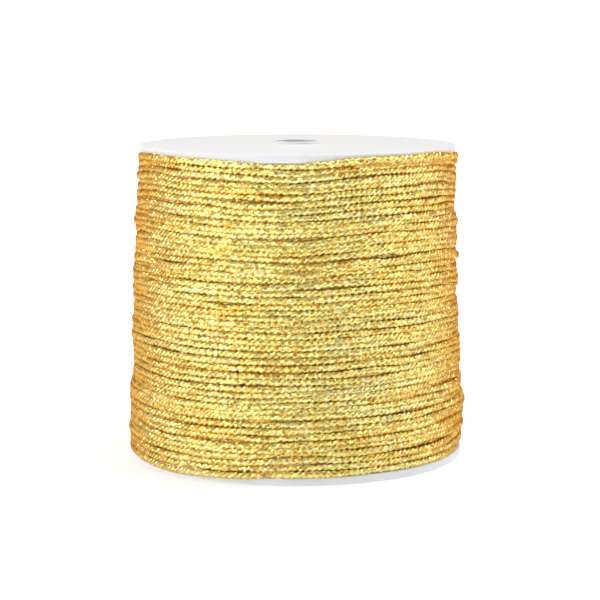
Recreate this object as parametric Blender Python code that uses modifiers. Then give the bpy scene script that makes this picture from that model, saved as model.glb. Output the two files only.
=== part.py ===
"""A white plastic spool wound full with a thin metallic macrame cord.

Units are metres and +Z is up. The origin is the centre of the lower flange's underside,
so the spool stands on the plane z = 0.
"""

import math

import bpy
import numpy as np

MM = 0.001

# Driving dimensions of the spool
SPOOL_HEIGHT = 56.2 * MM
LOWER_FLANGE_RADIUS = 30.0 * MM
UPPER_FLANGE_RADIUS = 28.5 * MM
LOWER_FLANGE_THICKNESS = 1.5 * MM
UPPER_FLANGE_THICKNESS = 1.5 * MM
SPINDLE_HOLE_RADIUS = 3.75 * MM
BARREL_RADIUS = 16.0 * MM
WALL = 1.6 * MM
COLLAR_DEPTH = 5.0 * MM

# Small sizes that the pieces share
PIECE_GAP = 0.3 * MM
RIM_ROUND = 0.35 * MM
HOLE_ROUND = 0.25 * MM
ROOT_ROUND = 0.8 * MM

# The wound cord
CORD_DIAMETER = 1.0 * MM
SEAM_DEPTH = 0.4 * MM
SHOULDER_SHARE = 0.28
BAND_COLUMNS = ("height", "radius", "lean", "seam_tilt", "seam_side")
# A row for each band of turns, from the lower flange up. Millimetres, and degrees for seam_side:
# how high the band is, how far out it stands, how much further out it is on the right than on
# average, how far its lower seam climbs, and the side of the spool on which that seam is highest.
BANDS = (
    (2.2, 30.1, -0.1, 0.0, 0),
    (2.6, 30.5, 0.1, 0.2, 40),
    (2.6, 30.4, 0.1, 0.3, 290),
    (3.0, 30.6, 0.2, 0.5, 10),
    (2.6, 30.15, 0.15, 0.4, 335),
    (2.4, 29.85, 0.25, 0.3, 60),
    (3.2, 29.65, 0.1, 0.4, 190),
    (2.6, 29.85, 0.0, 0.3, 150),
    (2.8, 29.75, -0.15, 0.45, 20),
    (2.6, 29.5, -0.1, 0.3, 250),
    (2.2, 29.3, -0.25, 0.25, 170),
    (2.8, 29.6, -0.3, 0.5, 200),
    (3.4, 29.1, -0.1, 0.35, 120),
    (3.0, 29.15, -0.15, 0.2, 310),
    (3.2, 29.1, -0.2, 0.3, 70),
    (3.4, 28.85, -0.2, 0.25, 350),
    (3.0, 28.75, -0.15, 0.3, 220),
    (2.8, 28.7, -0.1, 0.2, 100),
    (2.6, 28.55, 0.0, 0.15, 30),
)

# Steps round the axis
FLANGE_STEPS = 64
WINDING_STEPS = 48
SHARP_ANGLE = math.radians(50)


def clear_scene():
    """Remove whatever the open file holds."""
    for item in list(bpy.data.objects):
        bpy.data.objects.remove(item, do_unlink=True)


def make_collection(name):
    """Make a collection for the pieces and link it to the scene."""
    collection = bpy.data.collections.new(name)
    bpy.context.scene.collection.children.link(collection)
    return collection


def make_material(name, color, roughness, metallic):
    """Make a plain Principled material."""
    material = bpy.data.materials.new(name)
    material.use_nodes = True
    shader = material.node_tree.nodes["Principled BSDF"]
    shader.inputs["Base Color"].default_value = (*color, 1.0)
    shader.inputs["Roughness"].default_value = roughness
    shader.inputs["Metallic"].default_value = metallic
    material.diffuse_color = (*color, 1.0)
    return material


def turned_mesh(name, outline, steps):
    """Turn a closed outline of (radius, height) points about Z.

    The outline runs down the outer side, in along the bottom, up the inner side and back.
    """
    points = [(radius, 0.0, height) for radius, height in outline]
    count = len(points)
    profile = bpy.data.meshes.new(name + "_profile")
    profile.from_pydata(points, [(i, (i + 1) % count) for i in range(count)], [])
    lathe = bpy.data.objects.new(name + "_lathe", profile)
    bpy.context.scene.collection.objects.link(lathe)

    screw = lathe.modifiers.new("Turn", "SCREW")
    screw.axis = "Z"
    screw.angle = 2 * math.pi
    screw.steps = steps
    screw.render_steps = steps
    screw.use_merge_vertices = True
    screw.merge_threshold = 0.01 * MM

    depsgraph = bpy.context.evaluated_depsgraph_get()
    mesh = bpy.data.meshes.new_from_object(lathe.evaluated_get(depsgraph))
    mesh.name = name
    bpy.data.objects.remove(lathe)
    bpy.data.meshes.remove(profile)
    return mesh


def add_piece(name, mesh, material, collection):
    """Shade a finished mesh and add it to the model as one piece."""
    mesh.shade_smooth()
    mesh.set_sharp_from_angle(angle=SHARP_ANGLE)
    mesh.materials.clear()
    mesh.materials.append(material)
    piece = bpy.data.objects.new(name, mesh)
    collection.objects.link(piece)
    return piece


def base_outline():
    """Section of the lower flange and the barrel, moulded in one."""
    flange_top = LOWER_FLANGE_THICKNESS
    barrel_top = SPOOL_HEIGHT - UPPER_FLANGE_THICKNESS - PIECE_GAP
    inner_radius = BARREL_RADIUS - WALL
    return [
        (BARREL_RADIUS, barrel_top),
        (BARREL_RADIUS, flange_top + ROOT_ROUND),
        (BARREL_RADIUS + ROOT_ROUND, flange_top),
        (LOWER_FLANGE_RADIUS - RIM_ROUND, flange_top),
        (LOWER_FLANGE_RADIUS, flange_top - RIM_ROUND),
        (LOWER_FLANGE_RADIUS, RIM_ROUND),
        (LOWER_FLANGE_RADIUS - RIM_ROUND, 0.0),
        (SPINDLE_HOLE_RADIUS + HOLE_ROUND, 0.0),
        (SPINDLE_HOLE_RADIUS, HOLE_ROUND),
        (SPINDLE_HOLE_RADIUS, flange_top - HOLE_ROUND),
        (SPINDLE_HOLE_RADIUS + HOLE_ROUND, flange_top),
        (inner_radius, flange_top),
        (inner_radius, barrel_top),
    ]


def cap_outline():
    """Section of the upper flange and the collar that plugs into the barrel."""
    top = SPOOL_HEIGHT
    under = SPOOL_HEIGHT - UPPER_FLANGE_THICKNESS
    collar_radius = BARREL_RADIUS - WALL - PIECE_GAP
    collar_end = under - COLLAR_DEPTH
    return [
        (UPPER_FLANGE_RADIUS - RIM_ROUND, top),
        (UPPER_FLANGE_RADIUS, top - RIM_ROUND),
        (UPPER_FLANGE_RADIUS, under + RIM_ROUND),
        (UPPER_FLANGE_RADIUS - RIM_ROUND, under),
        (collar_radius, under),
        (collar_radius, collar_end),
        (collar_radius - WALL, collar_end),
        (collar_radius - WALL, under),
        (SPINDLE_HOLE_RADIUS + HOLE_ROUND, under),
        (SPINDLE_HOLE_RADIUS, under + HOLE_ROUND),
        (SPINDLE_HOLE_RADIUS, top - HOLE_ROUND),
        (SPINDLE_HOLE_RADIUS + HOLE_ROUND, top),
    ]


def band_rows():
    """Give the bands with their heights fitted between the two flanges, in metres."""
    bottom = LOWER_FLANGE_THICKNESS + PIECE_GAP
    top = SPOOL_HEIGHT - UPPER_FLANGE_THICKNESS - PIECE_GAP
    scale = (top - bottom) / sum(row[0] for row in BANDS)
    rows = []
    height = bottom
    for values in BANDS:
        row = dict(zip(BAND_COLUMNS, values))
        row["bottom"] = height
        height += row["height"] * scale
        row["top"] = height
        for key in ("radius", "lean", "seam_tilt"):
            row[key] *= MM
        rows.append(row)
    return rows


def winding_outline(rows):
    """Section of the wound cord: a seam, then two shoulders for each band of turns.

    The flats between the inner steps lie PIECE_GAP off the barrel, and a chamfer clears its root.
    """
    inner_radius = (BARREL_RADIUS + PIECE_GAP) / math.cos(math.pi / WINDING_STEPS)
    bottom = rows[0]["bottom"]
    top = rows[-1]["top"]
    outer = [(rows[0]["radius"] - CORD_DIAMETER / 2, bottom)]
    for below, row in zip([None] + rows[:-1], rows):
        if below:
            seam_radius = min(below["radius"], row["radius"]) - SEAM_DEPTH
            outer.append((seam_radius, row["bottom"]))
        shoulder = SHOULDER_SHARE * (row["top"] - row["bottom"])
        outer.append((row["radius"], row["bottom"] + shoulder))
        outer.append((row["radius"], row["top"] - shoulder))
    outer.append((rows[-1]["radius"] - CORD_DIAMETER / 2, top))
    inner = [(inner_radius + ROOT_ROUND, bottom), (inner_radius, bottom + ROOT_ROUND), (inner_radius, top)]
    return outer[::-1] + inner


def settle_winding(mesh, rows):
    """Lean the bands and tilt their seams, as a hand-guided winding lies."""
    middles = [(row["bottom"] + row["top"]) / 2 for row in rows]
    leans = [row["lean"] for row in rows]
    seams = [row["bottom"] for row in rows] + [rows[-1]["top"]]
    inner_limit = BARREL_RADIUS + 2 * ROOT_ROUND
    for vertex in mesh.vertices:
        x, y, z = vertex.co
        radius = math.hypot(x, y)
        if radius < inner_limit:
            continue
        angle = math.atan2(y, x)
        climbs = [row["seam_tilt"] * math.cos(angle - math.radians(row["seam_side"])) for row in rows]
        lean = float(np.interp(z, middles, leans)) * math.cos(angle)
        climb = float(np.interp(z, seams, climbs + [0.0]))
        scale = (radius + lean) / radius
        vertex.co = (x * scale, y * scale, z + climb)


def main():
    clear_scene()
    spool = make_collection("macrame_cord_spool")
    plastic = make_material("white_plastic", (0.86, 0.87, 0.86), 0.35, 0.0)
    gold_cord = make_material("gold_metallic_cord", (0.80, 0.60, 0.22), 0.38, 0.8)

    base = turned_mesh("spool_base", base_outline(), FLANGE_STEPS)
    add_piece("spool_base", base, plastic, spool)

    cap = turned_mesh("spool_cap", cap_outline(), FLANGE_STEPS)
    add_piece("spool_cap", cap, plastic, spool)

    rows = band_rows()
    winding = turned_mesh("cord_winding", winding_outline(rows), WINDING_STEPS)
    settle_winding(winding, rows)
    add_piece("cord_winding", winding, gold_cord, spool)


main()
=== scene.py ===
# %% [markdown]
# # A spool of gold macrame cord
# The object is a white plastic hand spool, 60 mm across and 56 mm tall, wound full with a 1 mm cord
# that is twisted from gold metallised thread. This lesson loads the solid model of the spool, keeps
# every size that it gives, and then makes what the eye sees on the real thing: each turn of the
# cord, the turns under it, the moulded flanges, and the soft light of a photo table.

import math

import bpy
import numpy as np
from mathutils import Matrix, Vector


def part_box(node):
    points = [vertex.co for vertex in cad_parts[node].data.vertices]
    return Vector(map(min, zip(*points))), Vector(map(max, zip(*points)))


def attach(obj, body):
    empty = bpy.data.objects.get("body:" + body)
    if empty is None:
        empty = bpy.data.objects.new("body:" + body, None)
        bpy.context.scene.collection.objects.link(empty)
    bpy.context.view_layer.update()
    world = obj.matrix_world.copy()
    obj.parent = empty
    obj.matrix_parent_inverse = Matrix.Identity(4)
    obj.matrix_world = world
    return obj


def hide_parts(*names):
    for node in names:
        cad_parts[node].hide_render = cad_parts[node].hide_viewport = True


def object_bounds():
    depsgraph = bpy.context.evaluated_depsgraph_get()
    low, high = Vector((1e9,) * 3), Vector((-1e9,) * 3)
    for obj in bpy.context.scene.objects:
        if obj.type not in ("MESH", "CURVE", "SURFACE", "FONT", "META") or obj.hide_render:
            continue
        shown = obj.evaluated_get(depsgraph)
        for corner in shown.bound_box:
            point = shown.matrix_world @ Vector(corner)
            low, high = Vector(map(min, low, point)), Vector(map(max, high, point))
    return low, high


MM = 0.001
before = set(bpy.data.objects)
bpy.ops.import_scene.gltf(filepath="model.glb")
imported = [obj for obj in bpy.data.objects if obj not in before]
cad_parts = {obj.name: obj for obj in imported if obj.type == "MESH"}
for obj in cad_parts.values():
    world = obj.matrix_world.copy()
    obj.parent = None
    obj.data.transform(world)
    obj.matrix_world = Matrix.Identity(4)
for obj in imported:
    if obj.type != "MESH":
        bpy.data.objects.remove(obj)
cad_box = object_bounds()
print("solid model, mm:", [round(side / MM, 2) for side in cad_box[1] - cad_box[0]])

# %% [markdown]
# ## Camera
# The spool is seen from the front and a little above, so its upper face is a thin sliver and its
# lower rim a clear arc. A long lens keeps both ends nearly as wide as each other. The camera is
# made first, because every later step is judged through it.

# %% Camera
CAMERA_DISTANCE = 361.3 * MM
CAMERA_HEIGHT = 79.74 * MM
CAMERA_LENS_MM = 119.944
LOOK_DOWN = math.radians(8.202)
LOOK_RIGHT = math.radians(0.083)
ROLL = math.radians(-0.019)

camera_data = bpy.data.cameras.new("front_camera")
camera_data.lens = CAMERA_LENS_MM
camera_data.clip_start = 0.01
camera_data.clip_end = 20.0
camera = bpy.data.objects.new("front_camera", camera_data)
bpy.context.scene.collection.objects.link(camera)
camera.location = (0.0, -CAMERA_DISTANCE, CAMERA_HEIGHT)
aim = Matrix.Rotation(-LOOK_RIGHT, 3, "Z") @ Matrix.Rotation(math.pi / 2 - LOOK_DOWN, 3, "X")
camera.rotation_euler = (aim @ Matrix.Rotation(-ROLL, 3, "Z")).to_euler()
bpy.context.scene.camera = camera
print("camera looks down, degrees:", round(math.degrees(LOOK_DOWN), 2))

# %% [markdown]
# ## Where the turns lie
# A cord is guided on to a spool by a simple traverse, so its turns don't lie evenly. Most of them
# touch, and some part for a few millimetres and leave a narrow wedge of shadow. The turns next to
# a wedge are pushed aside, and the ones further off aren't, so a push fades out over its
# neighbours. Round the spool the pitch also drifts slowly, and no two turns are the same apart.
#
# At its two ends the winding isn't level either. Low on the left it spills over the rim of the
# lower flange, and high on the right it climbs over the rim of the upper one. A table by bearing
# gives both, and every turn between them takes its share.

# %% Gaps between the turns
TURNS = 51
ANGLE_SAMPLES = 240
CORD_DIAMETER = 1.0 * MM
TURN_HALF_HEIGHT = 0.62 * MM
UNEVEN_PITCH = 0.18
DRIFT = 0.10 * MM
DRIFT_WAVES = (1, 2, 3)
WEDGES_PER_TURN = 5
WEDGE_WIDTH = (math.radians(2.5), math.radians(12))
WEDGE_GAP = (0.06 * MM, 0.36 * MM)
NEIGHBOURS = 2.5
LOWER_FLANGE_THICKNESS = 1.5 * MM
UPPER_FLANGE_THICKNESS = 1.5 * MM

spool_top = cad_box[1].z
ring_angles = np.arange(ANGLE_SAMPLES) * 2 * math.pi / ANGLE_SAMPLES


def turn_heights(turns, low, high, seed):
    """Height of each turn's middle at each angle round the spool."""
    rng = np.random.default_rng(seed)
    pitch = rng.uniform(1 - UNEVEN_PITCH, 1 + UNEVEN_PITCH, turns - 1)
    share = np.concatenate([[0], np.cumsum(pitch)])[:, None] / pitch.sum()
    heights = low + share * (high - low)

    drift = np.zeros((turns, ANGLE_SAMPLES))
    for row in drift[1:]:
        for wave in DRIFT_WAVES:
            row += DRIFT / wave * rng.normal() * np.sin(wave * ring_angles + rng.uniform(0, 2 * math.pi))
    drift = np.cumsum(drift, axis=0)
    heights += drift - share * drift[-1]

    rows = np.arange(turns)
    for gap in range(turns - 1):
        side = np.where(rows > gap, 0.5, -0.5)
        push = side * np.exp((0.5 - np.abs(rows - gap - 0.5)) / NEIGHBOURS)
        for _ in range(rng.poisson(WEDGES_PER_TURN)):
            width = rng.uniform(*WEDGE_WIDTH)
            away = (ring_angles - rng.uniform(0, 2 * math.pi) + math.pi) % (2 * math.pi) - math.pi
            opening = rng.uniform(*WEDGE_GAP) * np.exp(-0.5 * (away / width) ** 2)
            heights += push[:, None] * opening
    heights[0] = low
    heights[-1] = high
    return heights


END_COLUMNS = ("bearing", "spill", "climb")
ENDS = (
    (-180, 0.1, 0.1),
    (-90, 0.3, -0.05),
    (-78, 0.4, 0.1),
    (-70, 0.5, 0.6),
    (-60, 0.75, 0.8),
    (-48, 0.9, 0.6),
    (-35, 0.85, 0.55),
    (-20, 0.55, 0.25),
    (-8, 0.2, 0.05),
    (0, 0.05, 0.05),
    (8, 0.0, 0.3),
    (17, 0.0, 0.75),
    (27, 0.0, 1.0),
    (55, 0.0, 1.1),
    (66, 0.0, 0.9),
    (76, 0.0, 0.45),
    (90, 0.0, 0.05),
    (180, 0.1, 0.1),
)
ends = {name: np.array(values, float) for name, values in zip(END_COLUMNS, zip(*ENDS))}
bearings = np.degrees(ring_angles) - 180
spill = np.interp(bearings, ends["bearing"], ends["spill"]) * MM
climb = np.interp(bearings, ends["bearing"], ends["climb"]) * MM
lowest_turn = LOWER_FLANGE_THICKNESS + TURN_HALF_HEIGHT - spill
highest_turn = spool_top - UPPER_FLANGE_THICKNESS - TURN_HALF_HEIGHT + climb
heights = turn_heights(TURNS, lowest_turn, highest_turn, seed=7)
print("climbs over the upper rim by up to, mm:", round(climb.max() / MM, 2))
print("turns:", TURNS, "mean pitch, mm:", round(np.diff(heights, axis=0).mean() / MM, 3))

# %% [markdown]
# ## How far out the turns stand
# The winding isn't a true cylinder. It swells near the lower flange and sinks near the upper one,
# and single bundles stand proud. Its two side outlines give the radius on the left and on the
# right, and a cosine blends one into the other round the spool.

# %% Outline of the winding
OUTLINE_COLUMNS = ("height", "left", "right")
OUTLINE = (
    (1.6, 30.4, 29.9),
    (3.0, 30.7, 30.05),
    (5.0, 30.8, 30.3),
    (7.0, 30.6, 30.25),
    (8.6, 30.65, 30.45),
    (10.0, 30.65, 30.5),
    (12.0, 30.6, 30.1),
    (13.4, 30.3, 30.1),
    (14.6, 30.0, 30.15),
    (16.0, 29.95, 29.75),
    (17.2, 29.9, 29.55),
    (19.0, 29.75, 29.75),
    (20.4, 29.95, 29.75),
    (21.8, 30.15, 29.5),
    (22.8, 30.0, 29.35),
    (24.4, 30.15, 29.45),
    (26.4, 29.85, 29.45),
    (28.2, 29.65, 29.05),
    (30.0, 29.7, 28.95),
    (31.6, 29.85, 29.35),
    (33.0, 30.0, 29.15),
    (35.0, 29.35, 28.95),
    (36.4, 29.1, 29.0),
    (39.0, 29.3, 29.0),
    (41.0, 29.25, 29.05),
    (43.6, 29.3, 28.9),
    (45.6, 29.05, 28.55),
    (48.0, 28.8, 28.75),
    (52.0, 28.7, 28.8),
    (54.5, 28.5, 28.8),
)
outline = {name: np.array(values) * MM for name, values in zip(OUTLINE_COLUMNS, zip(*OUTLINE))}


def crest_radius(height, azimuth):
    """How far out the winding reaches at a height and an azimuth."""
    left = np.interp(height, outline["height"], outline["left"])
    right = np.interp(height, outline["height"], outline["right"])
    return (left + right) / 2 + (right - left) / 2 * np.cos(azimuth)


print("widest, mm:", round((outline["left"] + outline["right"]).max() / MM, 1))

# %% [markdown]
# ## The path of the cord
# One long cord climbs from row to row. Each turn runs level round the front, and climbs to the
# next row over the last part of the turn, at the back. Small waves in height and radius stand for
# the uneven tension of winding, and both ends dive under the layer. Where a turn lies beside a
# rim, it is pushed out until it clears the rounded edge, because cord can't pass through plastic.

# %% Path of the cord
STEP_OVER = 0.3
END_TUCK = 1.3 * MM
END_TUCK_TURN = 0.03
WAVER = 0.20 * MM
WAVER_WAVES = (2, 3, 5, 7, 11)
JITTER = 0.06 * MM
MEAN_RADIUS = 29.5 * MM
CREST_REACH = 0.55 * MM
RIM_ROUND = 0.35 * MM
RIM_CLEARANCE = RIM_ROUND + 0.45 * MM
RIMS = (
    (30.0 * MM, LOWER_FLANGE_THICKNESS, 0.0, 1),
    (28.5 * MM, UPPER_FLANGE_THICKNESS, spool_top, -1),
)


def smooth(t):
    t = np.clip(t, 0, 1)
    return t * t * (3 - 2 * t)


def read_ring(values, angles):
    """Read a row of values, sampled round the ring, at any angle."""
    return np.interp(angles, np.append(ring_angles, 2 * math.pi), np.append(values, values[0]))


def waver(rng, angles):
    """A slow random wave round the ring."""
    total = np.zeros_like(angles)
    for wave in WAVER_WAVES:
        total += rng.normal() * np.sin(wave * angles + rng.uniform(0, 2 * math.pi))
    return total / math.sqrt(len(WAVER_WAVES))


def jitter(run):
    """A fast uneven wave along the cord, between -1 and 1."""
    fast = np.sin(run / (1.9 * MM) + 2 * np.sin(run / (7.3 * MM)))
    slow = np.sin(run / (3.7 * MM) + 3 * np.sin(run / (11.9 * MM)))
    return (fast + slow) / 2


def clear_of_rims(height):
    """The least radius at which a turn's middle clears the rounded rims of both flanges."""
    clear = np.zeros_like(height)
    for radius, thickness, face, inward in RIMS:
        above = np.abs(height - (face + inward * thickness - inward * RIM_ROUND))
        beside = (height - face) * inward < thickness + CORD_DIAMETER / 2
        reach = np.sqrt(np.maximum(RIM_CLEARANCE ** 2 - above ** 2, 0.0))
        clear = np.maximum(clear, np.where(beside & (reach > 0), radius - RIM_ROUND + reach, 0.0))
    return clear


def cord_path(rows, rings, depth, seed):
    """Points of one long cord that winds up through the rows, depth under the crest."""
    rng = np.random.default_rng(seed)
    turns = len(rows)
    angles = np.arange(rings) * 2 * math.pi / rings
    azimuth = angles + math.pi / 2
    step = smooth((angles / (2 * math.pi) - 1 + STEP_OVER) / STEP_OVER)
    waves = [waver(rng, angles) for _ in range(turns + 1)]
    path = []
    for turn in range(turns):
        here = read_ring(rows[turn], angles)
        there = read_ring(rows[min(turn + 1, turns - 1)], angles)
        share = turn + angles / (2 * math.pi)
        height = here + (there - here) * step + JITTER * jitter(share * 2 * math.pi * MEAN_RADIUS)
        radius = crest_radius(height, azimuth) - CREST_REACH - depth
        radius += WAVER * (waves[turn] + (waves[turn + 1] - waves[turn]) * step)
        tuck = 1 - smooth(share / END_TUCK_TURN) + smooth((share - turns) / END_TUCK_TURN + 1)
        radius = np.maximum(radius, clear_of_rims(height)) - END_TUCK * tuck
        path.append(np.stack([radius * np.cos(azimuth), radius * np.sin(azimuth), height], axis=1))
    return np.concatenate(path)


# %% [markdown]
# ## The twisted cord as a mesh
# The cord is three plies twisted round each other. A curve with a round bevel would lose the
# twist, and three separate plies would treble the triangles. Instead one skin follows the path,
# with a three-lobed section that turns a little from ring to ring, as the plies do.
#
# On the spool the turns press on one another, so the section is nearly square, fills the pitch
# and is flatter on its outer face. The notches between the plies stay deep only beside the
# neighbours, where they show as rows of dark dots.

# %% Twisted section along a path
PLY_TWIST = 3.2 * MM
TWIST_WAVER = 1.3
PLY_REACH = np.array((0.57, 0.51, 0.38, 0.50, 0.54, 0.49, 0.37, 0.48, 0.58, 0.52, 0.39, 0.51)) * MM
PRESSED = 3.8
RISE = 1.13
CREST_RELIEF = 0.45


def cord_mesh(name, path, start, section):
    """Skin a stretch of cord. Returns the mesh and the length that the cord has reached."""
    steps = np.linalg.norm(np.diff(path, axis=0), axis=1)
    length = start + np.concatenate([[0], np.cumsum(steps)])
    tangent = np.gradient(path, axis=0)
    tangent /= np.linalg.norm(tangent, axis=1, keepdims=True)
    outward = path * (1, 1, 0)
    outward /= np.linalg.norm(outward, axis=1, keepdims=True)
    upward = np.cross(outward, tangent)
    upward /= np.linalg.norm(upward, axis=1, keepdims=True)

    uneven = np.sin(length / (9.7 * MM)) + 0.6 * np.sin(length / (4.1 * MM) + 1)
    twist = 2 * math.pi * length / PLY_TWIST + TWIST_WAVER * uneven
    bulk = 1 + 0.05 * np.sin(length / (1.7 * MM) + 3 * np.sin(length / (5.3 * MM)))
    sides = len(section)
    around = np.arange(sides) * 2 * math.pi / sides
    angle = twist[:, None] + around
    relief = CREST_RELIEF + (1 - CREST_RELIEF) * np.sin(angle) ** 2
    reach = bulk[:, None] * (section.mean() + (section - section.mean()) * relief)
    reach = reach / (np.abs(np.cos(angle)) ** PRESSED + np.abs(np.sin(angle)) ** PRESSED) ** (1 / PRESSED)
    points = path[:, None, :] + (reach * np.cos(angle))[:, :, None] * outward[:, None, :]
    points += (RISE * reach * np.sin(angle))[:, :, None] * upward[:, None, :]

    ring = np.arange(len(path) - 1)[:, None] * sides
    side = np.arange(sides)
    after = (side + 1) % sides
    quads = np.stack([ring + side, ring + sides + side, ring + sides + after, ring + after], axis=2)
    faces = quads.reshape(-1, 4).tolist()
    faces.append(list(range(sides)))
    faces.append([(len(path) - 1) * sides + s for s in range(sides)][::-1])
    mesh = bpy.data.meshes.new(name)
    mesh.from_pydata(points.reshape(-1, 3).tolist(), [], faces)
    mesh.shade_smooth()
    crest = (section - section.min()) / (section.max() - section.min())
    mask = mesh.attributes.new("crest", "FLOAT", "POINT")
    mask.data.foreach_set("value", np.tile(crest, len(path)).astype(np.float32))
    return mesh, length[-1]


# %% [markdown]
# ## Gold thread
# Each ply is a core of orange fibre wrapped in slit metallised film. The film lies in tiny flat
# facets, and every facet throws back another part of the room, which is why the cord glitters.
# A bump map would only ripple it. Here every facet gets one tilted normal, and a speckle of three
# tones lies over it. Two finishes use the same effect, so it is a group with named inputs.

# %% Group for metallised thread


def new_material(name):
    """A material with its Principled shader, ready for nodes."""
    material = bpy.data.materials.new(name)
    material.use_nodes = True
    return material, material.node_tree, material.node_tree.nodes["Principled BSDF"]


def new_group(name, inputs, outputs):
    """An empty shader group with the sockets that are listed as (name, type, default)."""
    group = bpy.data.node_groups.new(name, "ShaderNodeTree")
    for label, kind, default in inputs:
        socket = group.interface.new_socket(name=label, in_out="INPUT", socket_type=kind)
        socket.default_value = default
    for label, kind in outputs:
        group.interface.new_socket(name=label, in_out="OUTPUT", socket_type=kind)
    return group, group.nodes.new("NodeGroupInput"), group.nodes.new("NodeGroupOutput")


def vector_math(tree, operation, *sources):
    node = tree.nodes.new("ShaderNodeVectorMath")
    node.operation = operation
    for socket, source in zip(node.inputs, sources):
        if isinstance(source, bpy.types.NodeSocket):
            tree.links.new(source, socket)
        else:
            socket.default_value = source
    return node.outputs[0]


foil, foil_in, foil_out = new_group(
    "metallised_thread",
    (
        ("Facets per metre", "NodeSocketFloat", 2100.0),
        ("Tilt", "NodeSocketFloat", 1.2),
        ("Shade", "NodeSocketColor", (0.86, 0.51, 0.09, 1.0)),
        ("Gold", "NodeSocketColor", (0.94, 0.87, 0.28, 1.0)),
        ("Pale", "NodeSocketColor", (0.97, 0.91, 0.50, 1.0)),
    ),
    (("Color", "NodeSocketColor"), ("Roughness", "NodeSocketFloat"), ("Normal", "NodeSocketVector")),
)
place = foil.nodes.new("ShaderNodeTexCoord").outputs["Object"]
facets = foil.nodes.new("ShaderNodeTexVoronoi")
foil.links.new(place, facets.inputs["Vector"])
foil.links.new(foil_in.outputs["Facets per metre"], facets.inputs["Scale"])
lean = vector_math(foil, "SUBTRACT", facets.outputs["Color"], (0.5, 0.5, 0.5))
scaled = foil.nodes.new("ShaderNodeVectorMath")
scaled.operation = "SCALE"
foil.links.new(lean, scaled.inputs[0])
foil.links.new(foil_in.outputs["Tilt"], scaled.inputs["Scale"])
surface = foil.nodes.new("ShaderNodeNewGeometry").outputs["Normal"]
tilted = vector_math(foil, "NORMALIZE", vector_math(foil, "ADD", surface, scaled.outputs[0]))
foil.links.new(tilted, foil_out.inputs["Normal"])

speckle = foil.nodes.new("ShaderNodeTexNoise")
speckle.inputs["Scale"].default_value = 1500.0
speckle.inputs["Detail"].default_value = 3.0
foil.links.new(place, speckle.inputs["Vector"])


def ramp_between(tree, value, low, high):
    """A factor that runs from 0 to 1 while the value runs from low to high."""
    node = tree.nodes.new("ShaderNodeMapRange")
    node.inputs["From Min"].default_value = low
    node.inputs["From Max"].default_value = high
    tree.links.new(value, node.inputs["Value"])
    return node.outputs["Result"]


def mix_colours(tree, factor, first, second):
    node = tree.nodes.new("ShaderNodeMix")
    node.data_type = "RGBA"
    tree.links.new(factor, node.inputs["Factor"])
    tree.links.new(first, node.inputs["A"])
    tree.links.new(second, node.inputs["B"])
    return node.outputs["Result"]


stretched = foil.nodes.new("ShaderNodeMapping")
stretched.inputs["Scale"].default_value = (60.0, 60.0, 420.0)
foil.links.new(place, stretched.inputs["Vector"])
patches = foil.nodes.new("ShaderNodeTexNoise")
patches.inputs["Scale"].default_value = 1.0
patches.inputs["Detail"].default_value = 2.0
foil.links.new(stretched.outputs["Vector"], patches.inputs["Vector"])
crest = foil.nodes.new("ShaderNodeAttribute")
crest.attribute_name = "crest"


def add_scaled(tree, base, value, gain, offset):
    """base + value * gain + offset."""
    scaled_value = tree.nodes.new("ShaderNodeMath")
    scaled_value.operation = "MULTIPLY_ADD"
    tree.links.new(value, scaled_value.inputs[0])
    scaled_value.inputs[1].default_value = gain
    scaled_value.inputs[2].default_value = offset
    total = tree.nodes.new("ShaderNodeMath")
    total.operation = "ADD"
    tree.links.new(base, total.inputs[0])
    tree.links.new(scaled_value.outputs[0], total.inputs[1])
    return total.outputs[0]


# The crest term pulls the notches between the plies towards Shade: painted shade in the creases, over
# random speckle.
speckle_and_notch_shade = add_scaled(foil, speckle.outputs["Fac"], crest.outputs["Fac"], 0.22, -0.13)
speckle_and_notch_shade = add_scaled(foil, speckle_and_notch_shade, patches.outputs["Fac"], 0.35, -0.175)
toward_gold = ramp_between(foil, speckle_and_notch_shade, 0.33, 0.50)
toward_pale = ramp_between(foil, speckle_and_notch_shade, 0.53, 0.69)
tone = mix_colours(foil, toward_gold, foil_in.outputs["Shade"], foil_in.outputs["Gold"])
tone = mix_colours(foil, toward_pale, tone, foil_in.outputs["Pale"])
foil.links.new(tone, foil_out.inputs["Color"])
roughness = foil.nodes.new("ShaderNodeMapRange")
roughness.inputs["To Min"].default_value = 0.22
roughness.inputs["To Max"].default_value = 0.42
foil.links.new(speckle.outputs["Fac"], roughness.inputs["Value"])
foil.links.new(roughness.outputs["Result"], foil_out.inputs["Roughness"])


# %% [markdown]
# ## The two gold finishes
# Seen edge on, the colour moves to orange where the surface turns away from the camera. This is a
# painted sheen, a painted reflection that warms the sides of the spool and the grooves between
# turns. The layer below is the same thread, only darker, because less light reaches it.

# %% Gold finishes
EDGE_TINT = (1.0, 0.66, 0.30, 1.0)
# Orange of the painted sheen, and the facing range over which it is mixed in.
PAINTED_SHEEN_ORANGE = (0.88, 0.41, 0.07, 1.0)
PAINTED_SHEEN_FACING = (0.37, 0.88)


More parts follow.
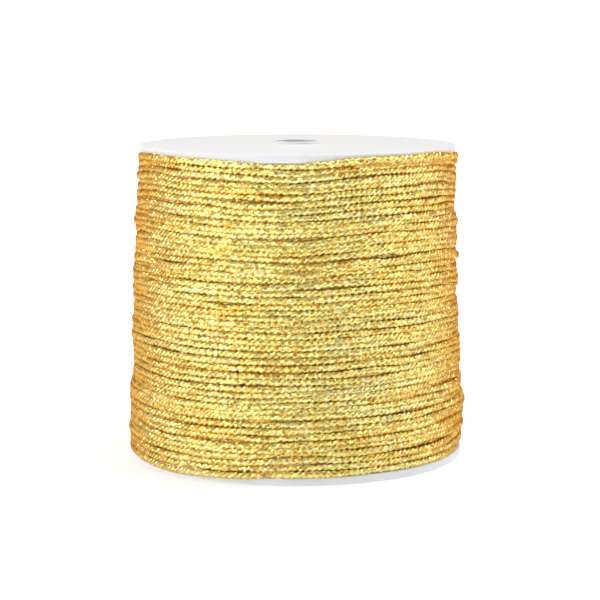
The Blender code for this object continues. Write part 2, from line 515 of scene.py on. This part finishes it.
def gold_thread(name, metallic, tilt, **tones):
    """A finish of metallised thread, with its own tones where the group's don't fit."""
    material, tree, shader = new_material(name)
    thread = tree.nodes.new("ShaderNodeGroup")
    thread.node_tree = foil
    thread.inputs["Tilt"].default_value = tilt
    for tone_name, value in tones.items():
        thread.inputs[tone_name].default_value = value
    # Towards an edge-on view the colour is mixed to orange: painted sheen, not the thread's own colour.
    facing = tree.nodes.new("ShaderNodeLayerWeight")
    painted_sheen_mix = ramp_between(tree, facing.outputs["Facing"], *PAINTED_SHEEN_FACING)
    core = tree.nodes.new("ShaderNodeRGB")
    core.outputs[0].default_value = PAINTED_SHEEN_ORANGE
    tone_with_painted_sheen = mix_colours(tree, painted_sheen_mix, thread.outputs["Color"], core.outputs[0])
    tree.links.new(tone_with_painted_sheen, shader.inputs["Base Color"])
    tree.links.new(thread.outputs["Roughness"], shader.inputs["Roughness"])
    tree.links.new(thread.outputs["Normal"], shader.inputs["Normal"])
    shader.inputs["Metallic"].default_value = metallic
    shader.inputs["Specular Tint"].default_value = EDGE_TINT
    return material


outer_gold = gold_thread("gold_thread_outer", metallic=0.85, tilt=0.76)
inner_gold = gold_thread(
    "gold_thread_inner", metallic=0.6, tilt=1.0,
    Shade=(0.70, 0.42, 0.10, 1.0), Gold=(0.85, 0.60, 0.18, 1.0), Pale=(0.90, 0.74, 0.34, 1.0),
)

print("gold finishes:", outer_gold.name, inner_gold.name)

# %% [markdown]
# ## The layer that shows
# All the turns that show are one length of cord. It is cut into four stretches only to keep each
# mesh light, and each stretch starts at the twist that the one below it ended with, so no joint
# shows. The length is added up on the way and printed.

# %% Outer turns
RINGS_PER_TURN = 560
STRETCHES = ("lowest", "lower", "upper", "highest")


def add_piece(name, mesh, material, slot, *nodes):
    """Put a finished mesh on the spool, in place of the solids that are named."""
    mesh.materials.append(material)
    piece = bpy.data.objects.new(name, mesh)
    bpy.context.scene.collection.objects.link(piece)
    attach(piece, "root")
    if nodes:
        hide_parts(*nodes)
    return piece


outer_path = cord_path(heights, RINGS_PER_TURN, 0.0, seed=3)
stretch_rings = math.ceil(TURNS / len(STRETCHES)) * RINGS_PER_TURN
reached = 0.0
for index, stretch in enumerate(STRETCHES):
    points = outer_path[index * stretch_rings:(index + 1) * stretch_rings + 1]
    name = "cord_turns_" + stretch
    mesh, reached = cord_mesh(name, points, reached, PLY_REACH)
    add_piece(name, mesh, outer_gold, "gold_metallic_cord", "cord_winding")
    print(name, "faces:", len(mesh.polygons), "cord so far, m:", round(reached, 2))

# %% [markdown]
# ## The layer below
# Through the wedges one sees the next layer, whose turns lie in the grooves between the outer
# ones. A plain dark cylinder would look painted there. A coarser cord, half a pitch higher and a
# little further in, gives the wedges a floor of real turns at a small cost. It starts with one
# level turn on the flange, which closes the gap where the first outer turn climbs away.

# %% Turns under the outer layer
INNER_DEPTH = 0.6 * MM
INNER_RINGS = 240
INNER_REACH = np.array((0.56, 0.40) * 3) * MM

inner_heights = np.vstack([heights[:1], heights[:1], (heights[:-1] + heights[1:]) / 2])
inner_path = cord_path(inner_heights, INNER_RINGS, INNER_DEPTH, seed=5)
inner_mesh, inner_length = cord_mesh("cord_turns_inner", inner_path, 0.0, INNER_REACH)
add_piece("cord_turns_inner", inner_mesh, inner_gold, "gold_metallic_cord")
print("layer below, m of cord:", round(inner_length, 2))

# %% [markdown]
# ## Moulded flanges
# The spool is injection moulded in white plastic: a lower flange with the barrel that the cord is
# wound on, and an upper flange with a short collar that plugs into it. Both are round, so each is
# one section turned about the axis. Every outer edge gets the small radius of a real mould.

# %% Turned sections
ROUND_STEPS = 5
TURN_STEPS = 192
SAME_POINT = 0.001 * MM
BARREL_RADIUS = 16.0 * MM
WALL = 1.6 * MM
COLLAR_DEPTH = 5.0 * MM
HOLE_RADIUS = 3.75 * MM
EDGE_ROUND = 0.35 * MM
HOLE_ROUND = 0.25 * MM
LIP_WIDTH = 0.5 * MM
LIP_HEIGHT = 0.6 * MM


def rounded_section(corners):
    """Round the corners of a closed section, given as (radius, height, rounding)."""
    section = []
    count = len(corners)
    for index, (r, z, rounding) in enumerate(corners):
        here = np.array((r, z))
        before = np.array(corners[index - 1][:2]) - here
        after = np.array(corners[(index + 1) % count][:2]) - here
        if rounding == 0:
            section.append(here)
            continue
        start = here + before / np.linalg.norm(before) * rounding
        stop = here + after / np.linalg.norm(after) * rounding
        for t in np.linspace(0, 1, ROUND_STEPS):
            section.append((1 - t) ** 2 * start + 2 * t * (1 - t) * here + t ** 2 * stop)
    section = np.array(section)
    apart = np.linalg.norm(section - np.roll(section, 1, axis=0), axis=1) > SAME_POINT
    return section[apart]


def turned_mesh(name, section):
    """Turn a closed section about the axis."""
    count = len(section)
    angle = np.arange(TURN_STEPS) * 2 * math.pi / TURN_STEPS
    rings = np.empty((TURN_STEPS, count, 3))
    rings[:, :, 0] = np.cos(angle)[:, None] * section[:, 0]
    rings[:, :, 1] = np.sin(angle)[:, None] * section[:, 0]
    rings[:, :, 2] = section[:, 1]
    here = np.arange(TURN_STEPS)[:, None] * count
    there = (np.arange(TURN_STEPS)[:, None] + 1) % TURN_STEPS * count
    point = np.arange(count)
    after = (point + 1) % count
    quads = np.stack([here + point, there + point, there + after, here + after], axis=2)
    mesh = bpy.data.meshes.new(name)
    mesh.from_pydata(rings.reshape(-1, 3).tolist(), [], quads.reshape(-1, 4).tolist())
    mesh.shade_smooth()
    mesh.set_sharp_from_angle(angle=math.radians(40))
    return mesh


lower_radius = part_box("spool_base")[1].x
upper_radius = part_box("spool_cap")[1].x
barrel_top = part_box("spool_base")[1].z
cap_under = spool_top - UPPER_FLANGE_THICKNESS
lower_section = rounded_section((
    (HOLE_RADIUS, 0.0, HOLE_ROUND),
    (lower_radius, 0.0, EDGE_ROUND),
    (lower_radius, LOWER_FLANGE_THICKNESS, EDGE_ROUND),
    (BARREL_RADIUS, LOWER_FLANGE_THICKNESS, EDGE_ROUND),
    (BARREL_RADIUS, barrel_top, 0.0),
    (BARREL_RADIUS - WALL, barrel_top, 0.0),
    (BARREL_RADIUS - WALL, LOWER_FLANGE_THICKNESS, EDGE_ROUND),
    (HOLE_RADIUS, LOWER_FLANGE_THICKNESS, HOLE_ROUND),
))
collar_radius = BARREL_RADIUS - WALL - 0.3 * MM
lip_radius = HOLE_RADIUS + LIP_WIDTH
upper_section = rounded_section((
    (HOLE_RADIUS, cap_under, HOLE_ROUND),
    (collar_radius - WALL, cap_under, EDGE_ROUND),
    (collar_radius - WALL, cap_under - COLLAR_DEPTH, 0.0),
    (collar_radius, cap_under - COLLAR_DEPTH, 0.0),
    (collar_radius, cap_under, 0.0),
    (upper_radius, cap_under, EDGE_ROUND),
    (upper_radius, spool_top, EDGE_ROUND),
    (lip_radius, spool_top, EDGE_ROUND),
    (lip_radius, spool_top + LIP_HEIGHT, HOLE_ROUND),
    (HOLE_RADIUS, spool_top + LIP_HEIGHT, HOLE_ROUND),
))
print("flange radii, mm:", round(lower_radius / MM, 2), round(upper_radius / MM, 2))

# %% [markdown]
# ## White plastic
# Moulded polystyrene is an even, faintly cool white with a satin skin. The melt leaves slow, weak
# clouds in it, and the mould a fine grain. Noise gives both: a broad one for the clouds and the
# gloss, and a fine one for the grain, which only the light notices.

# %% Plastic finish
skin, skin_in, skin_out = new_group(
    "moulded_skin",
    (
        ("Clouds per metre", "NodeSocketFloat", 55.0),
        ("Grain per metre", "NodeSocketFloat", 5200.0),
        ("Clear", "NodeSocketColor", (0.86, 0.885, 0.90, 1.0)),
        ("Cloudy", "NodeSocketColor", (0.83, 0.855, 0.875, 1.0)),
    ),
    (("Color", "NodeSocketColor"), ("Roughness", "NodeSocketFloat"), ("Height", "NodeSocketFloat")),
)
skin_place = skin.nodes.new("ShaderNodeTexCoord").outputs["Object"]
clouds = skin.nodes.new("ShaderNodeTexNoise")
grain = skin.nodes.new("ShaderNodeTexNoise")
for noise, spacing in ((clouds, "Clouds per metre"), (grain, "Grain per metre")):
    skin.links.new(skin_place, noise.inputs["Vector"])
    skin.links.new(skin_in.outputs[spacing], noise.inputs["Scale"])
cloudy = ramp_between(skin, clouds.outputs["Fac"], 0.35, 0.65)
cloud_tone = mix_colours(skin, cloudy, skin_in.outputs["Clear"], skin_in.outputs["Cloudy"])
satin = skin.nodes.new("ShaderNodeMapRange")
satin.inputs["To Min"].default_value = 0.44
satin.inputs["To Max"].default_value = 0.56
skin.links.new(cloudy, satin.inputs["Value"])
skin.links.new(cloud_tone, skin_out.inputs["Color"])
skin.links.new(satin.outputs["Result"], skin_out.inputs["Roughness"])
skin.links.new(grain.outputs["Fac"], skin_out.inputs["Height"])

plastic, plastic_tree, plastic_shader = new_material("white_moulded_plastic")
plastic_skin = plastic_tree.nodes.new("ShaderNodeGroup")
plastic_skin.node_tree = skin
relief = plastic_tree.nodes.new("ShaderNodeBump")
relief.inputs["Strength"].default_value = 0.06
relief.inputs["Distance"].default_value = 0.05 * MM
plastic_tree.links.new(plastic_skin.outputs["Color"], plastic_shader.inputs["Base Color"])
plastic_tree.links.new(plastic_skin.outputs["Roughness"], plastic_shader.inputs["Roughness"])
plastic_tree.links.new(plastic_skin.outputs["Height"], relief.inputs["Height"])
plastic_tree.links.new(relief.outputs["Normal"], plastic_shader.inputs["Normal"])
plastic_shader.inputs["Specular IOR Level"].default_value = 0.25
print("plastic finish:", plastic.name)

# %% Flanges
lower_flange = turned_mesh("moulded_lower_flange", lower_section)
upper_flange = turned_mesh("moulded_upper_flange", upper_section)
add_piece("moulded_lower_flange", lower_flange, plastic, "white_plastic", "spool_base")
add_piece("moulded_upper_flange", upper_flange, plastic, "white_plastic", "spool_cap")
print("faces in the two flanges:", len(lower_flange.polygons), len(upper_flange.polygons))

# %% [markdown]
# ## Table
# The spool stands on a white sheet that is bright enough to burn out, so no horizon and hardly any
# shadow is left. Far off, the sheet needs a little glow of its own to stay white, and near the
# spool less, or it would light the lower rim from below.

# %% Table
FLOOR_SIZE = 12.0
bpy.ops.mesh.primitive_plane_add(size=FLOOR_SIZE, location=(0, 0, 0))
floor = bpy.context.object
floor.name = "pale_floor"
floor_finish, floor_tree, floor_shader = new_material("pale_floor")
floor_shader.inputs["Base Color"].default_value = (0.78, 0.80, 0.85, 1.0)
floor_shader.inputs["Roughness"].default_value = 1.0
floor_shader.inputs["Specular IOR Level"].default_value = 0.0
spot = floor_tree.nodes.new("ShaderNodeTexCoord").outputs["Object"]
reach = floor_tree.nodes.new("ShaderNodeVectorMath")
reach.operation = "LENGTH"
floor_tree.links.new(spot, reach.inputs[0])
glow = floor_tree.nodes.new("ShaderNodeMapRange")
glow.interpolation_type = "SMOOTHSTEP"
glow.inputs["From Min"].default_value = 0.05
glow.inputs["From Max"].default_value = 0.6
glow.inputs["To Min"].default_value = 0.38
glow.inputs["To Max"].default_value = 0.74
floor_tree.links.new(reach.outputs["Value"], glow.inputs["Value"])
floor_tree.links.new(glow.outputs["Result"], floor_shader.inputs["Emission Color"])
floor_shader.inputs["Emission Strength"].default_value = 1.0
floor.data.materials.append(floor_finish)
print("table, m across:", FLOOR_SIZE)

# %% [markdown]
# ## Room
# Metallised thread shows the room more than itself. The room is an even grey, darker on the
# camera's side, where the photographer stands, and brown behind the spool. The dark side keeps
# the grooves deep, and the brown one warms both limbs of the winding.

# %% Room
ROOM = (0.55, 0.55, 0.56, 1.0)
CAMERA_SIDE = (0.13, 0.11, 0.08, 1.0)
WARM_WALL = (0.34, 0.19, 0.06, 1.0)
BACKDROP_LIGHT = 1.05
world = bpy.data.worlds.new("studio")
bpy.context.scene.world = world
world.use_nodes = True
room_tree = world.node_tree
direction = room_tree.nodes.new("ShaderNodeTexCoord").outputs["Generated"]


def patch_of_room(azimuth, elevation, edge, core):
    """A soft round patch of the room: 1 within core of its middle and 0 beyond edge, as cosines."""
    turn, rise = math.radians(azimuth), math.radians(elevation)
    dot = room_tree.nodes.new("ShaderNodeVectorMath")
    dot.operation = "DOT_PRODUCT"
    room_tree.links.new(direction, dot.inputs[0])
    level = math.cos(rise)
    dot.inputs[1].default_value = (level * math.sin(turn), -level * math.cos(turn), math.sin(rise))
    node = room_tree.nodes.new("ShaderNodeMapRange")
    node.interpolation_type = "SMOOTHSTEP"
    node.inputs["From Min"].default_value = edge
    node.inputs["From Max"].default_value = core
    room_tree.links.new(dot.outputs["Value"], node.inputs["Value"])
    return node.outputs["Result"]


def tint_room(factor, colour, under):
    node = room_tree.nodes.new("ShaderNodeMix")
    node.data_type = "RGBA"
    room_tree.links.new(factor, node.inputs["Factor"])
    if under is None:
        node.inputs["A"].default_value = ROOM
    else:
        room_tree.links.new(under, node.inputs["A"])
    node.inputs["B"].default_value = colour
    return node.outputs["Result"]


tinted = tint_room(patch_of_room(12, 0, 0.45, 0.88), CAMERA_SIDE, None)
tinted = tint_room(patch_of_room(180, 0, 0.20, 0.85), WARM_WALL, tinted)
room = room_tree.nodes["Background"]
room_tree.links.new(tinted, room.inputs["Color"])
backdrop = room_tree.nodes.new("ShaderNodeBackground")
backdrop.inputs["Color"].default_value = (1.0, 1.0, 1.0, 1.0)
backdrop.inputs["Strength"].default_value = BACKDROP_LIGHT
rays = room_tree.nodes.new("ShaderNodeLightPath")
either = room_tree.nodes.new("ShaderNodeMixShader")
room_tree.links.new(rays.outputs["Is Camera Ray"], either.inputs["Fac"])
room_tree.links.new(room.outputs[0], either.inputs[1])
room_tree.links.new(backdrop.outputs[0], either.inputs[2])
room_tree.links.new(either.outputs[0], room_tree.nodes["World Output"].inputs["Surface"])

print("room tones:", ROOM[:3], CAMERA_SIDE[:3], WARM_WALL[:3])

# %% [markdown]
# ## Lights
# Two tall softboxes stand left and right of the camera. Each is mirrored where the winding turns
# halfway towards it, which gives the two brighter bands. A third one hangs over the spool for the
# upper face. Their strength is given as brightness, so a box can be resized and stay as bright.

# %% Lights
def softbox(name, azimuth, elevation, distance, size, radiance):
    """A soft light, placed by its bearing from the camera's side and its height."""
    turn, rise = math.radians(azimuth), math.radians(elevation)
    level = distance * math.cos(rise)
    place = Vector((level * math.sin(turn), -level * math.cos(turn), distance * math.sin(rise)))
    light = bpy.data.lights.new(name, "AREA")
    light.shape = "RECTANGLE"
    light.size, light.size_y = size
    light.energy = radiance * math.pi * size[0] * size[1]
    item = bpy.data.objects.new(name, light)
    bpy.context.scene.collection.objects.link(item)
    item.location = place
    item.rotation_euler = (Vector((0, 0, spool_top / 2)) - place).to_track_quat("-Z", "Y").to_euler()
    return item


softbox("left_box", -58, 18, 0.9, (0.50, 0.70), 2.7)
softbox("right_box", 84, 18, 0.9, (0.42, 0.70), 2.0)
softbox("high_box", 150, 78, 0.9, (0.7, 0.7), 3.2)

bpy.context.scene.view_settings.view_transform = "Standard"
